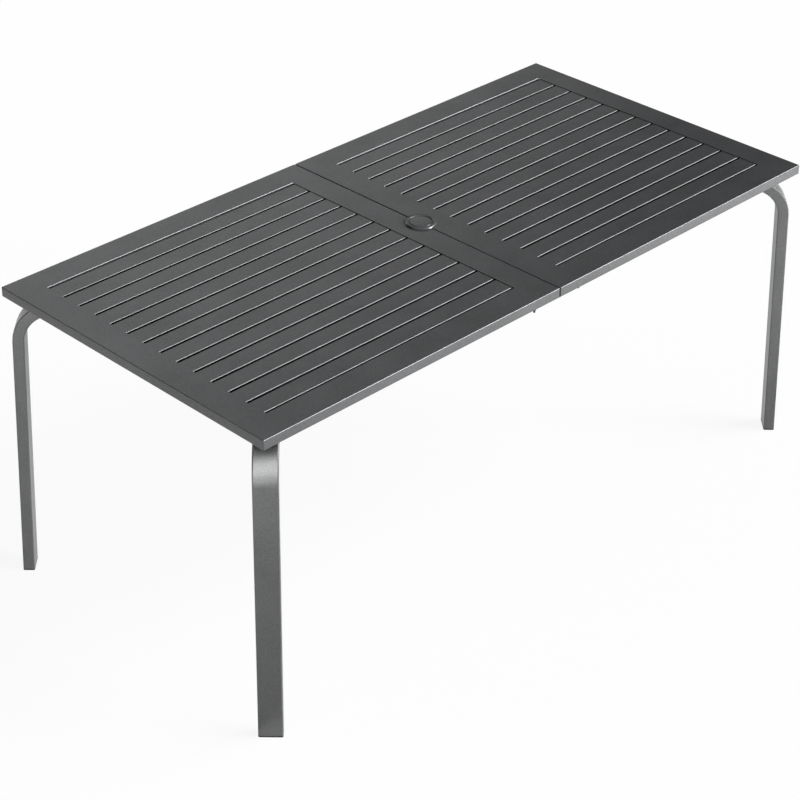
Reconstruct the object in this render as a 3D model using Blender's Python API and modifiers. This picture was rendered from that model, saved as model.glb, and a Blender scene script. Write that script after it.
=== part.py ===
"""Folding picnic table: two slatted sheet-metal panels, bolted at a seam, on two folding leg frames.

Metres, +Z up. The origin is on the floor under the middle of the table, +X runs along the long side.
Left is -X, right is +X, front is -Y and back is +Y.
"""
import math

import bmesh
import bpy
from mathutils import Matrix, Vector

# Whole table
TOP_LENGTH = 1.756
TOP_WIDTH = 0.860
TABLE_HEIGHT = 0.750
FIT_GAP = 0.0003
BEVEL_ANGLE = math.radians(50)
SMOOTH_ANGLE = math.radians(35)
EDGE_SEGMENTS = 2
EMPTY_SIZE = 0.05
COOL_TINT = 1.02

# Sheet tray of each panel
SHEET = 0.0009
SKIRT = 0.024
LIP = 0.018
FOLD_RADIUS = 0.0020
FOLD_SEGMENTS = 3
SEAM_GAP = 0.0024
END_BORDER = 0.0710
INNER_FOLD = 0.012
FOLD_FLARE = 0.022

# Slats and the slots between them
SLAT_COUNT = 13
SLAT_PITCH = 0.0546
SLOT_WIDTH = 0.0054
SLAT_DEPTH = 0.012
SLAT_WALL = 0.0010
SLAT_EDGE_RADIUS = 0.003
CHANNEL_EDGE_STEPS = 3
SLAT_LAP = 0.018

# Cross batten under the middle of each panel
BATTEN_WIDTH = 0.040
BATTEN_WALL = 0.0012
BATTEN_EDGE_RADIUS = 0.002
BATTEN_END_CLEARANCE = 0.0007

# Umbrella ring and cap, in radius and in height above the top surface
HOLE_RADIUS = 0.0293
RING_FLANGE_RADIUS = 0.0375
RING_RIM_WIDTH = 0.0095
RING_RIM_SHARES = (0, 0.12, 0.32, 0.60, 0.82, 0.95, 1)
RING_RIM_HEIGHTS = (0.0030, 0.0042, 0.0050, 0.0049, 0.0040, 0.0024, 0.0012)
RING_COLLAR_RADIUS = 0.0285
RING_COLLAR_DEPTH = 0.030
RING_BORE_RADIUS = 0.0240
RING_RECESS_FLOOR = 0.0012
CAP_RADIUS = 0.0264
CAP_TOP = 0.0038
CAP_CROWN = 0.0003
CAP_CROWN_SHARE = 0.7
CAP_EDGE = 0.001
CAP_PLUG_RADIUS = 0.0235
CAP_PLUG_DEPTH = 0.010
CAP_PLUG_WALL = 0.0022
RING_STEPS = 36
UMBRELLA_HOLE_SEGMENTS = 48

# Legs: flat tube, bent once
LEG_WIDE = 0.054
LEG_THICK = 0.027
LEG_CORNER_RADIUS = 0.0035
LEG_CORNER_SEGMENTS = 3
LEG_WALL = 0.0013
LEG_INSET = 0.0317
LEG_LEAN = math.radians(2.0)
BEND_RADIUS = 0.086
BEND_STEPS = 10
ARM_DROP = 0.0435
ARM_OVERRUN = 0.036
COPE_SHOULDER = 0.004
TRIM_DEPTH = 0.2

# Foot glides
GLIDE_HEIGHT = 0.0035
GLIDE_PLUG = 0.018

# Fold axle and what carries it
PIVOT_INSET = 0.135
TUBE_RADIUS = 0.0127
TUBE_WALL = 0.0015
TUBE_HALF_LENGTH = 0.342
TUBE_SEGMENTS = 32
PLATE_THICKNESS = 0.003
PLATE_OUTER_INSET = 0.060
PLATE_WIDTH = 0.125
PLATE_SIDE_INSET = 0.008
STRIP_WIDTH = 0.016
STRIP_INSET = 0.092
STRIP_HALF_LENGTH = 0.367
STRIP_CORNER = 0.0003

# Split clamp brackets on the cross tube
BRACKET_Y = 0.230
BRACKET_LENGTH = 0.026
BRACKET_RING_RADIUS = 0.019
BRACKET_SLIT = 0.003
BRACKET_LIP_REACH = 0.046
BRACKET_LIP_DEPTH = 0.010
BRACKET_FLANGE_REACH = 0.030
BRACKET_FLANGE = 0.005
BRACKET_ARC_STEPS = 14
SCREW_REACH = 0.036
SCREW_RADIUS = 0.003
SCREW_HOLE_RADIUS = 0.0034
SCREW_BITE = 0.009
SCREW_CHAMFER = 0.0007
HOLE_SEGMENTS = 12

# Star knobs
KNOB_RADIUS = 0.0145
KNOB_LOBE = 0.0022
KNOB_LOBES = 5
STEPS_PER_LOBE = 6
KNOB_HEIGHT = 0.013
KNOB_COLLAR_RADIUS = 0.007
KNOB_COLLAR = 0.003
KNOB_EDGE = 0.0015

# Splice under the skirt lips, across the seam
SPLICE_LENGTH = 0.184
SPLICE_WIDTH = 0.013
SPLICE_SIDE_INSET = 0.0045
SPLICE_BOLT_REACH = 0.072
BOLT_RADIUS = 0.0025
BOLT_STEPS = 12
BOLT_HOLE_RADIUS = 0.0029
BOLT_HEAD_RADIUS = 0.0050
BOLT_HEAD = 0.0028
BOLT_DOME = 0.0006
BOLT_DOME_RADIUS = 0.0030
NUT_RADIUS = 0.0042
NUT_HEIGHT = 0.0035
LONG_TAIL = 0.006
SHORT_TAIL = 0.0005

# Worked out from the above
TOP_Z = TABLE_HEIGHT
LIP_TOP_Z = TOP_Z - SKIRT + SHEET
LIP_BOTTOM_Z = TOP_Z - SKIRT
SLAT_WIDTH = SLAT_PITCH - SLOT_WIDTH
SLAT_TOP_Z = TOP_Z - SHEET - FIT_GAP
SLAT_BOTTOM_Z = SLAT_TOP_Z - SLAT_DEPTH
WINDOW_HALF_WIDTH = (SLAT_COUNT * SLAT_PITCH + SLOT_WIDTH) / 2
WINDOW_LENGTH = TOP_LENGTH / 2 - SEAM_GAP / 2 - 2 * END_BORDER
PANEL_CENTRE = (TOP_LENGTH / 2 + SEAM_GAP / 2) / 2
PANEL_LENGTH = TOP_LENGTH / 2 - SEAM_GAP / 2
PIVOT_X = TOP_LENGTH / 2 - PIVOT_INSET
PIVOT_Z = TOP_Z - ARM_DROP
PLATE_TOP_Z = LIP_BOTTOM_Z - FIT_GAP
PLATE_BOTTOM_Z = PLATE_TOP_Z - PLATE_THICKNESS
BEND_CENTRE_Z = PIVOT_Z - BEND_RADIUS
SPLICE_Y = TOP_WIDTH / 2 - SPLICE_SIDE_INSET - SPLICE_WIDTH / 2

SIDES = {"left": -1, "right": 1}
ENDS = {"front": -1, "back": 1}


def start_scene():
    """Empties the scene and makes the collections for the parts and for the cutters."""
    for obj in list(bpy.data.objects):
        bpy.data.objects.remove(obj, do_unlink=True)
    collections = {}
    for name in ("folding_picnic_table", "cutters"):
        collections[name] = bpy.data.collections.new(name)
        bpy.context.scene.collection.children.link(collections[name])
    return collections["folding_picnic_table"], collections["cutters"]


def finish(name, grey, roughness, metallic):
    """A plain painted, plated or moulded finish of one grey."""
    material = bpy.data.materials.new(name)
    material.use_nodes = True
    shader = material.node_tree.nodes["Principled BSDF"]
    shader.inputs["Base Color"].default_value = (grey, grey, grey * COOL_TINT, 1.0)
    shader.inputs["Roughness"].default_value = roughness
    shader.inputs["Metallic"].default_value = metallic
    return material


def mesh_from(bm, name, smooth_angle=SMOOTH_ANGLE):
    """Turns a bmesh into a mesh that is smooth except at its sharp edges."""
    mesh = bpy.data.meshes.new(name)
    bm.to_mesh(mesh)
    bm.free()
    mesh.shade_smooth()
    mesh.set_sharp_from_angle(angle=smooth_angle)
    return mesh


def add_part(name, mesh, material, parent=None, location=(0, 0, 0), turn=0.0):
    """One named sub-part, placed in world space and then hung on its parent."""
    obj = bpy.data.objects.new(name, mesh)
    PARTS.objects.link(obj)
    if not mesh.materials:
        mesh.materials.append(material)
    obj.matrix_world = Matrix.Translation(location) @ Matrix.Rotation(turn, 4, "Z")
    if parent is not None:
        obj.parent = parent
        obj.matrix_parent_inverse = Matrix.Translation(-Vector(parent.location))
    return obj


def add_cutter(name, mesh, location=(0, 0, 0)):
    obj = bpy.data.objects.new(name, mesh)
    CUTTERS.objects.link(obj)
    obj.location = location
    obj.hide_render = True
    obj.display_type = "WIRE"
    return obj


def add_empty(name, location):
    """An empty on a joint's axis, which carries the pieces that move together."""
    empty = bpy.data.objects.new(name, None)
    PARTS.objects.link(empty)
    empty.empty_display_size = EMPTY_SIZE
    empty.location = location
    return empty


def cut(obj, cutter):
    modifier = obj.modifiers.new(f"cut by {cutter.name}", "BOOLEAN")
    modifier.operation = "DIFFERENCE"
    modifier.solver = "EXACT"
    modifier.object = cutter


def solidify(obj, thickness):
    """Thickens an open surface inwards, away from the side that its faces point to."""
    modifier = obj.modifiers.new("wall", "SOLIDIFY")
    modifier.thickness = thickness
    modifier.offset = -1.0
    modifier.use_even_offset = True


def bevel(obj, width, segments):
    modifier = obj.modifiers.new("rounded edges", "BEVEL")
    modifier.width = width
    modifier.segments = segments
    modifier.limit_method = "ANGLE"
    modifier.angle_limit = BEVEL_ANGLE


def arc(centre, radius, start, end, steps):
    """Points of an arc in a plane, from one angle to another, both ends included."""
    points = []
    for i in range(steps + 1):
        angle = start + (end - start) * i / steps
        points.append((centre[0] + radius * math.cos(angle), centre[1] + radius * math.sin(angle)))
    return points


def rounded_rectangle(width, height, radius, steps):
    """Closed outline of a rectangle with round corners, counter-clockwise about the origin."""
    x, y = width / 2 - radius, height / 2 - radius
    points = []
    for i, centre in enumerate(((x, y), (-x, y), (-x, -y), (x, -y))):
        points += arc(centre, radius, i * math.pi / 2, (i + 1) * math.pi / 2, steps)
    return points


def moved_verts(result):
    return [item for item in result["geom"] if isinstance(item, bmesh.types.BMVert)]


def moved_edges(result):
    return [item for item in result["geom"] if isinstance(item, bmesh.types.BMEdge)]


def moved_faces(result):
    return [item for item in result["geom"] if isinstance(item, bmesh.types.BMFace)]


def box_mesh(name, size):
    bm = bmesh.new()
    bmesh.ops.create_cube(bm, size=1.0)
    bmesh.ops.scale(bm, vec=size, verts=bm.verts)
    return mesh_from(bm, name)


def cylinder_mesh(name, radius, length, axis="Z", segments=TUBE_SEGMENTS):
    bm = bmesh.new()
    bmesh.ops.create_cone(
        bm, cap_ends=True, segments=segments, radius1=radius, radius2=radius, depth=length
    )
    if axis == "Y":
        bmesh.ops.rotate(bm, cent=(0, 0, 0), matrix=Matrix.Rotation(math.pi / 2, 3, "X"), verts=bm.verts)
    return mesh_from(bm, name)


def plate_mesh(name, outline, thickness):
    """A flat outline drawn as a 2D curve, filled on both sides and given its thickness."""
    curve = bpy.data.curves.new(name, "CURVE")
    curve.dimensions = "2D"
    curve.fill_mode = "BOTH"
    curve.extrude = thickness / 2
    spline = curve.splines.new("POLY")
    spline.points.add(len(outline) - 1)
    for point, (x, y) in zip(spline.points, outline):
        point.co = (x, y, 0, 1)
    spline.use_cyclic_u = True
    drawing = bpy.data.objects.new(name, curve)
    bpy.context.scene.collection.objects.link(drawing)
    graph = bpy.context.evaluated_depsgraph_get()
    filled = bpy.data.meshes.new_from_object(drawing.evaluated_get(graph))
    bm = bmesh.new()
    bm.from_mesh(filled)
    bmesh.ops.remove_doubles(bm, verts=bm.verts, dist=1e-6)
    bpy.data.objects.remove(drawing)
    bpy.data.curves.remove(curve)
    bpy.data.meshes.remove(filled)
    return mesh_from(bm, name)


def turned(name, profile, material, location, steps):
    """A turned piece: a profile of (radius, height) points, swept round Z by a Screw modifier."""
    bm = bmesh.new()
    verts = [bm.verts.new((radius, 0, height)) for radius, height in profile]
    for first, second in zip(verts, verts[1:]):
        bm.edges.new((first, second))
    if profile[0][0] > 0:
        bm.edges.new((verts[-1], verts[0]))
    obj = add_part(name, mesh_from(bm, name), material, location=location)
    screw = obj.modifiers.new("turn", "SCREW")
    screw.steps = steps
    screw.render_steps = steps
    screw.use_merge_vertices = True
    screw.merge_threshold = 1e-5
    screw.use_smooth_shade = True
    return obj


def channel_mesh(name, width, depth, length, edge_radius):
    """Open surface of an upside-down channel along X, with its top at Z 0 and rounded upper edges."""
    half, corner = width / 2, width / 2 - edge_radius
    section = [(-half, -depth)]
    section += arc((-corner, -edge_radius), edge_radius, math.pi, math.pi / 2, CHANNEL_EDGE_STEPS)
    section += arc((corner, -edge_radius), edge_radius, math.pi / 2, 0, CHANNEL_EDGE_STEPS)
    section += [(half, -depth)]
    bm = bmesh.new()
    verts = [bm.verts.new((-length / 2, y, z)) for y, z in section]
    edges = [bm.edges.new(pair) for pair in zip(verts, verts[1:])]
    drawn = bmesh.ops.extrude_edge_only(bm, edges=edges)
    bmesh.ops.translate(bm, vec=(length, 0, 0), verts=moved_verts(drawn))
    bm.normal_update()
    if max(bm.faces, key=lambda face: face.calc_area()).normal.z < 0:
        bmesh.ops.reverse_faces(bm, faces=bm.faces)
    return mesh_from(bm, name)


def fold_down(bm, edges):
    """Folds the sheet down along the window's long edges, round the radius of the press tool.

    The fold's ends flare out under the end boards, so that no gap shows past the last slat.
    """
    curve = arc((0, 0), FOLD_RADIUS, math.pi / 2, math.pi, FOLD_SEGMENTS)
    path = [(-y, FOLD_RADIUS - z) for y, z in curve] + [(FOLD_RADIUS, INNER_FOLD)]
    for (y, drop), (next_y, next_drop) in zip(path, path[1:]):
        step = bmesh.ops.extrude_edge_only(bm, edges=edges)
        verts = moved_verts(step)
        for vert in verts:
            vert.co.y -= math.copysign(next_y - y, vert.co.y)
            vert.co.z -= next_drop - drop
        edges = [edge for edge in moved_edges(step) if all(vert in verts for vert in edge.verts)]
    for vert in verts:
        vert.co.x += math.copysign(FOLD_FLARE, vert.co.x)


def tray_mesh(name):
    """Open surface of a panel's sheet: border boards round a window, inner folds, skirt and return lip.

    It is drawn about the panel's own centre, with the top surface at Z 0.
    """
    x_lines = (-PANEL_LENGTH / 2, -WINDOW_LENGTH / 2, WINDOW_LENGTH / 2, PANEL_LENGTH / 2)
    window_edge = WINDOW_HALF_WIDTH + FOLD_RADIUS
    y_lines = (-TOP_WIDTH / 2, -window_edge, window_edge, TOP_WIDTH / 2)
    bm = bmesh.new()
    half_grid = (len(x_lines) - 1) / 2
    bmesh.ops.create_grid(bm, x_segments=3, y_segments=3, size=half_grid)
    for vert in bm.verts:
        vert.co.x = x_lines[round(vert.co.x + half_grid)]
        vert.co.y = y_lines[round(vert.co.y + half_grid)]
    outer_edges = [edge for edge in bm.edges if edge.is_boundary]
    window = min(bm.faces, key=lambda face: face.calc_center_median().length)
    long_edges = [edge for edge in window.edges if abs(edge.verts[0].co.y - edge.verts[1].co.y) < FIT_GAP]
    bmesh.ops.delete(bm, geom=[window], context="FACES_ONLY")
    fold_down(bm, long_edges)
    skirt = bmesh.ops.extrude_edge_only(bm, edges=outer_edges)
    bmesh.ops.translate(bm, vec=(0, 0, -SKIRT), verts=moved_verts(skirt))
    lip = bmesh.ops.extrude_edge_only(bm, edges=[e for e in moved_edges(skirt) if e.is_boundary])
    for vert in moved_verts(lip):
        for axis, half in ((0, PANEL_LENGTH / 2), (1, TOP_WIDTH / 2)):
            if abs(vert.co[axis]) > half - LIP:
                vert.co[axis] -= math.copysign(LIP, vert.co[axis])
    bmesh.ops.recalc_face_normals(bm, faces=bm.faces)
    if max(bm.faces, key=lambda face: face.calc_center_median().z).normal.z < 0:
        bmesh.ops.reverse_faces(bm, faces=bm.faces)
    return mesh_from(bm, name)


def make_panels(paint, cutters):
    """The two trays. A half-round bite in each seam edge takes the umbrella ring."""
    for side, sign in SIDES.items():
        name = f"{side}_panel"
        panel = add_part(name, tray_mesh(name), paint, location=(sign * PANEL_CENTRE, 0, TOP_Z))
        bevel(panel, FOLD_RADIUS, FOLD_SEGMENTS)
        solidify(panel, SHEET)
        for cutter in (cutters["umbrella"], cutters[f"{side}_front_bolt"], cutters[f"{side}_back_bolt"]):
            cut(panel, cutter)


def make_slats(paint):
    """Thirteen channels in each panel, lapped under the border boards at both ends."""
    length = WINDOW_LENGTH + 2 * SLAT_LAP
    mesh = channel_mesh("slat", SLAT_WIDTH, SLAT_DEPTH, length, SLAT_EDGE_RADIUS)
    for side, sign in SIDES.items():
        for i in range(SLAT_COUNT):
            y = (i - (SLAT_COUNT - 1) / 2) * SLAT_PITCH
            place = (sign * PANEL_CENTRE, y, SLAT_TOP_Z)
            slat = add_part(f"{side}_slat_{i + 1:02d}", mesh, paint, location=place)
            solidify(slat, SLAT_WALL)


def make_battens(paint):
    """A shallow channel across each panel, on the lips, under the middle of the slats."""
    top = SLAT_BOTTOM_Z - FIT_GAP
    depth = top - LIP_TOP_Z - FIT_GAP
    length = TOP_WIDTH - 2 * (SHEET + FIT_GAP + BATTEN_END_CLEARANCE)
    mesh = channel_mesh("batten", BATTEN_WIDTH, depth, length, BATTEN_EDGE_RADIUS)
    for side, sign in SIDES.items():
        place = (sign * PANEL_CENTRE, 0, top)
        batten = add_part(f"{side}_batten", mesh, paint, location=place, turn=math.pi / 2)
        solidify(batten, BATTEN_WALL)


def make_umbrella_fittings(paint):
    """The ring, whose flange lies on the seam, and the cap that drops into its recess."""
    rim_inner = RING_FLANGE_RADIUS - RING_RIM_WIDTH
    rim_radii = [rim_inner + RING_RIM_WIDTH * share for share in RING_RIM_SHARES]
    ring = list(zip(rim_radii, RING_RIM_HEIGHTS))
    ring += [
        (RING_FLANGE_RADIUS, FIT_GAP),
        (RING_COLLAR_RADIUS, FIT_GAP),
        (RING_COLLAR_RADIUS, -RING_COLLAR_DEPTH),
        (RING_BORE_RADIUS, -RING_COLLAR_DEPTH),
        (RING_BORE_RADIUS, RING_RECESS_FLOOR),
        (rim_inner, RING_RECESS_FLOOR),
    ]
    turned("umbrella_ring", ring, paint, (0, 0, TOP_Z), RING_STEPS)
    plug_inner = CAP_PLUG_RADIUS - CAP_PLUG_WALL
    cap = [
        (0, CAP_TOP + CAP_CROWN),
        (CAP_RADIUS * CAP_CROWN_SHARE, CAP_TOP + CAP_CROWN * CAP_CROWN_SHARE),
        (CAP_RADIUS - CAP_EDGE, CAP_TOP),
        (CAP_RADIUS, CAP_TOP - CAP_EDGE),
        (CAP_RADIUS, RING_RECESS_FLOOR + FIT_GAP),
        (CAP_PLUG_RADIUS, RING_RECESS_FLOOR + FIT_GAP),
        (CAP_PLUG_RADIUS, -CAP_PLUG_DEPTH),
        (plug_inner, -CAP_PLUG_DEPTH),
        (plug_inner, 0),
        (0, 0),
    ]
    turned("umbrella_cap", cap, paint, (0, 0, TOP_Z), RING_STEPS)


def leg_plane(side_sign, end_sign):
    """Frame of a leg: X runs inwards from the top's corner along the diagonal, Z is up from the floor."""
    corner = Vector((side_sign * TOP_LENGTH / 2, end_sign * TOP_WIDTH / 2, 0))
    angle = math.atan2(-end_sign, -side_sign)
    return Matrix.Translation(corner) @ Matrix.Rotation(angle, 4, "Z")


def leg_offset(height):
    """Distance of the straight leg's centre line from the corner, along the diagonal, at a height."""
    bend_end = BEND_CENTRE_Z + BEND_RADIUS * math.sin(LEG_LEAN)
    return LEG_INSET - (bend_end - height) * math.tan(LEG_LEAN)


def leg_mesh(name, place):
    """Open surface of a leg, made as a tube bender makes it: a straight arm, one bend, a straight leg."""
    bend_centre = Vector((LEG_INSET + BEND_RADIUS * math.cos(LEG_LEAN), 0, BEND_CENTRE_Z))
    arm_end = PIVOT_INSET * math.sqrt(2) + ARM_OVERRUN
    section = rounded_rectangle(LEG_WIDE, LEG_THICK, LEG_CORNER_RADIUS, LEG_CORNER_SEGMENTS)
    bm = bmesh.new()
    verts = [bm.verts.new((arm_end, y, PIVOT_Z + z)) for y, z in section]
    edges = [bm.edges.new(pair) for pair in zip(verts, verts[1:] + verts[:1])]
    arm = bmesh.ops.extrude_edge_only(bm, edges=edges)
    bmesh.ops.translate(bm, vec=(bend_centre.x - arm_end, 0, 0), verts=moved_verts(arm))
    bend = bmesh.ops.spin(
        bm,
        geom=[item for item in arm["geom"] if not isinstance(item, bmesh.types.BMFace)],
        cent=bend_centre,
        axis=(0, -1, 0),
        angle=math.pi / 2 - LEG_LEAN,
        steps=BEND_STEPS,
    )
    ring = [item for item in bend["geom_last"] if isinstance(item, bmesh.types.BMEdge)]
    leg = bmesh.ops.extrude_edge_only(bm, edges=ring)
    down = Vector((-math.sin(LEG_LEAN), 0, -math.cos(LEG_LEAN)))
    bmesh.ops.translate(bm, vec=down * TABLE_HEIGHT, verts=moved_verts(leg))
    bmesh.ops.bisect_plane(
        bm,
        geom=bm.verts[:] + bm.edges[:] + bm.faces[:],
        plane_co=(0, 0, GLIDE_HEIGHT),
        plane_no=(0, 0, -1),
        clear_outer=True,
    )
    bmesh.ops.recalc_face_normals(bm, faces=bm.faces)
    outermost = min(bm.faces, key=lambda face: face.calc_center_median().x)
    if outermost.normal.x > 0:
        bmesh.ops.reverse_faces(bm, faces=bm.faces)
    bmesh.ops.transform(bm, matrix=place, verts=bm.verts)
    return mesh_from(bm, name)


def glide_mesh(name, place):
    """A flat foot with the leg's own outline, and a plug that goes up inside the tube."""
    lean = math.tan(LEG_LEAN)
    outline = rounded_rectangle(LEG_THICK, LEG_WIDE, LEG_CORNER_RADIUS, LEG_CORNER_SEGMENTS)
    centre = leg_offset(GLIDE_HEIGHT / 2)
    bm = bmesh.new()
    foot = bm.faces.new([bm.verts.new((centre + x, y, 0)) for x, y in outline])
    walls = bmesh.ops.extrude_face_region(bm, geom=[foot])
    shoulder = moved_faces(walls)[0]
    height = GLIDE_HEIGHT - FIT_GAP
    bmesh.ops.translate(bm, vec=(0, 0, height), verts=shoulder.verts)
    bmesh.ops.inset_individual(bm, faces=[shoulder], thickness=LEG_WALL + 2 * FIT_GAP, use_even_offset=True)
    plug = bmesh.ops.extrude_face_region(bm, geom=[shoulder])
    bmesh.ops.delete(bm, geom=[shoulder], context="FACES_ONLY")
    bmesh.ops.translate(bm, vec=(GLIDE_PLUG * lean, 0, GLIDE_PLUG), verts=moved_verts(plug))
    bmesh.ops.recalc_face_normals(bm, faces=bm.faces)
    bmesh.ops.transform(bm, matrix=place, verts=bm.verts)
    return mesh_from(bm, name)


def tube_mesh(name):
    """Open surface of the cross tube, along Y about its own middle."""
    bm = bmesh.new()
    bmesh.ops.create_cone(
        bm,
        cap_ends=False,
        segments=TUBE_SEGMENTS,
        radius1=TUBE_RADIUS,
        radius2=TUBE_RADIUS,
        depth=2 * TUBE_HALF_LENGTH,
    )
    bmesh.ops.rotate(bm, cent=(0, 0, 0), matrix=Matrix.Rotation(math.pi / 2, 3, "X"), verts=bm.verts)
    return mesh_from(bm, name)


def make_leg_frames(paint, plastic, cutters):
    """At each end two legs, coped round the cross tube that joins them and turns in the brackets."""
    for side, sign in SIDES.items():
        pivot = add_empty(f"{side}_leg_pivot", (sign * PIVOT_X, 0, PIVOT_Z))
        name = f"{side}_cross_tube"
        tube = add_part(name, tube_mesh(name), paint, pivot, pivot.location)
        solidify(tube, TUBE_WALL)
        for end, end_sign in ENDS.items():
            place = leg_plane(sign, end_sign)
            name = f"{side}_{end}_leg"
            leg = add_part(name, leg_mesh(name, place), paint, pivot)
            solidify(leg, LEG_WALL)
            cut(leg, cutters[f"{side}_trim"])
            cut(leg, cutters[f"{side}_cope"])
            name = f"{side}_{end}_glide"
            add_part(name, glide_mesh(name, place), plastic, pivot)


def make_leg_plates(paint, rubber):
    """At each end a flat plate under the lips, and a rubber strip under it that the arms bear on."""
    for side, sign in SIDES.items():
        name = f"{side}_leg_plate"
        size = (PLATE_WIDTH, TOP_WIDTH - 2 * PLATE_SIDE_INSET, PLATE_THICKNESS)
        x = sign * (TOP_LENGTH / 2 - PLATE_OUTER_INSET - PLATE_WIDTH / 2)
        place = (x, 0, PLATE_TOP_Z - PLATE_THICKNESS / 2)
        plate = add_part(name, box_mesh(name, size), paint, location=place)
        bevel(plate, PLATE_THICKNESS / 4, EDGE_SEGMENTS)
        name = f"{side}_bearing_strip"
        strip_top = PLATE_BOTTOM_Z - FIT_GAP
        strip_bottom = PIVOT_Z + LEG_THICK / 2 + FIT_GAP
        size = (STRIP_WIDTH, 2 * STRIP_HALF_LENGTH, strip_top - strip_bottom)
        place = (sign * (TOP_LENGTH / 2 - STRIP_INSET), 0, (strip_top + strip_bottom) / 2)
        strip = add_part(name, box_mesh(name, size), rubber, location=place)
        bevel(strip, STRIP_CORNER, EDGE_SEGMENTS)


def bracket_outline():
    """Side view of a split clamp about the tube's axis: flange on top, lips on the inboard side."""
    bore = TUBE_RADIUS + FIT_GAP
    half_slit = BRACKET_SLIT / 2
    flange_top = PLATE_BOTTOM_Z - FIT_GAP - PIVOT_Z
    flange_bottom = flange_top - BRACKET_FLANGE
    mouth = math.asin(half_slit / bore)
    lip_angle = math.asin(BRACKET_LIP_DEPTH / BRACKET_RING_RADIUS)
    flange_angle = math.asin(flange_bottom / BRACKET_RING_RADIUS)
    full_turn = 2 * math.pi
    outline = [
        (-BRACKET_FLANGE_REACH, flange_top),
        (BRACKET_LIP_REACH, flange_top),
        (BRACKET_LIP_REACH, half_slit),
    ]
    outline += arc((0, 0), bore, mouth, full_turn - mouth, BRACKET_ARC_STEPS * 2)
    outline += [(BRACKET_LIP_REACH, -half_slit), (BRACKET_LIP_REACH, -BRACKET_LIP_DEPTH)]
    outline += arc(
        (0, 0), BRACKET_RING_RADIUS, full_turn - lip_angle, math.pi - flange_angle, BRACKET_ARC_STEPS
    )
    outline += [(-BRACKET_FLANGE_REACH, flange_bottom)]
    return outline


def make_brackets(paint, cutters):
    """Split clamps under the leg plates. Their lips point inboard, where the knobs' screws pass."""
    for side, sign in SIDES.items():
        for end, end_sign in ENDS.items():
            name = f"{side}_{end}_bracket"
            mesh = plate_mesh(name, bracket_outline(), BRACKET_LENGTH)
            mesh.transform(Matrix.Rotation(math.pi / 2, 4, "X"))
            turn = 0.0 if sign < 0 else math.pi
            place = (sign * PIVOT_X, end_sign * BRACKET_Y, PIVOT_Z)
            bracket = add_part(name, mesh, paint, location=place, turn=turn)
            cut(bracket, cutters[f"{side}_{end}_screw"])


def knob_mesh(name):
    """A five-lobed star head with a short collar and its screw, all on the Z axis below Z 0."""
    steps = STEPS_PER_LOBE * KNOB_LOBES
    outline = []
    for i in range(steps):
        angle = 2 * math.pi * i / steps
        radius = KNOB_RADIUS + KNOB_LOBE * math.cos(KNOB_LOBES * angle)
        outline.append((radius * math.cos(angle), radius * math.sin(angle)))
    chamfer = 1 - KNOB_EDGE / KNOB_RADIUS
    bm = bmesh.new()
    top = bm.faces.new([bm.verts.new((chamfer * x, chamfer * y, -KNOB_COLLAR)) for x, y in outline])
    heights_and_scales = (
        (-KNOB_COLLAR - KNOB_EDGE, 1 / chamfer),
        (-KNOB_COLLAR - KNOB_HEIGHT + KNOB_EDGE, 1.0),
        (-KNOB_COLLAR - KNOB_HEIGHT, chamfer),
    )
    cap = top
    for height, factor in heights_and_scales:
        step = bmesh.ops.extrude_face_region(bm, geom=[cap])
        if cap is not top:
            bmesh.ops.delete(bm, geom=[cap], context="FACES_ONLY")
        cap = moved_faces(step)[0]
        bmesh.ops.scale(bm, vec=(factor, factor, 1), verts=cap.verts)
        bmesh.ops.translate(bm, vec=(0, 0, height - cap.verts[0].co.z), verts=cap.verts)
    bmesh.ops.recalc_face_normals(bm, faces=bm.faces)
    return mesh_from(bm, name)


def knob_screw_profile():
    """Collar and screw of a knob: the part that is joined to the star head."""
    inside_head = -KNOB_COLLAR - KNOB_HEIGHT / 2
    screw_top = BRACKET_LIP_DEPTH + FIT_GAP + BRACKET_SLIT / 2 + SCREW_BITE
    return [
        (0, screw_top),
        (SCREW_RADIUS - SCREW_CHAMFER, screw_top),
        (SCREW_RADIUS, screw_top - SCREW_CHAMFER),
        (SCREW_RADIUS, 0),
        (KNOB_COLLAR_RADIUS, 0),
        (KNOB_COLLAR_RADIUS, inside_head),
        (0, inside_head),
    ]


def make_knobs(plastic):
    """Star knobs that hang under the brackets' lips, each with its screw up through both lips."""
    for side, sign in SIDES.items():
        for end, end_sign in ENDS.items():
            name = f"{side}_{end}_knob"
            place = (
                sign * (PIVOT_X - SCREW_REACH),
                end_sign * BRACKET_Y,
                PIVOT_Z - BRACKET_LIP_DEPTH - FIT_GAP,
            )
            knob = add_part(name, knob_mesh(name), plastic, location=place)
            screw = turned(f"{name}_screw", knob_screw_profile(), plastic, place, BOLT_STEPS)
            PARTS.objects.unlink(screw)
            CUTTERS.objects.link(screw)
            screw.hide_render = True
            screw.display_type = "WIRE"
            join = knob.modifiers.new("screw", "BOOLEAN")
            join.operation = "UNION"
            join.solver = "EXACT"
            join.object = screw


def bolt_profile(tail):
    """Round-headed bolt with its nut, from the head down: heights are above the plate's underside."""
    head_bottom = LIP_TOP_Z + FIT_GAP - PLATE_BOTTOM_Z
    head_top = head_bottom + BOLT_HEAD
    nut_top = -FIT_GAP
    nut_bottom = nut_top - NUT_HEIGHT
    return [
        (0, head_top),
        (BOLT_DOME_RADIUS, head_top - BOLT_DOME),
        (BOLT_HEAD_RADIUS, head_bottom + BOLT_DOME),
        (BOLT_HEAD_RADIUS, head_bottom),
        (BOLT_RADIUS, head_bottom),
        (BOLT_RADIUS, nut_top),
        (NUT_RADIUS, nut_top),
        (NUT_RADIUS, nut_bottom),
        (BOLT_RADIUS, nut_bottom),
        (BOLT_RADIUS, nut_bottom - tail),
        (0, nut_bottom - tail),
    ]


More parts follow.
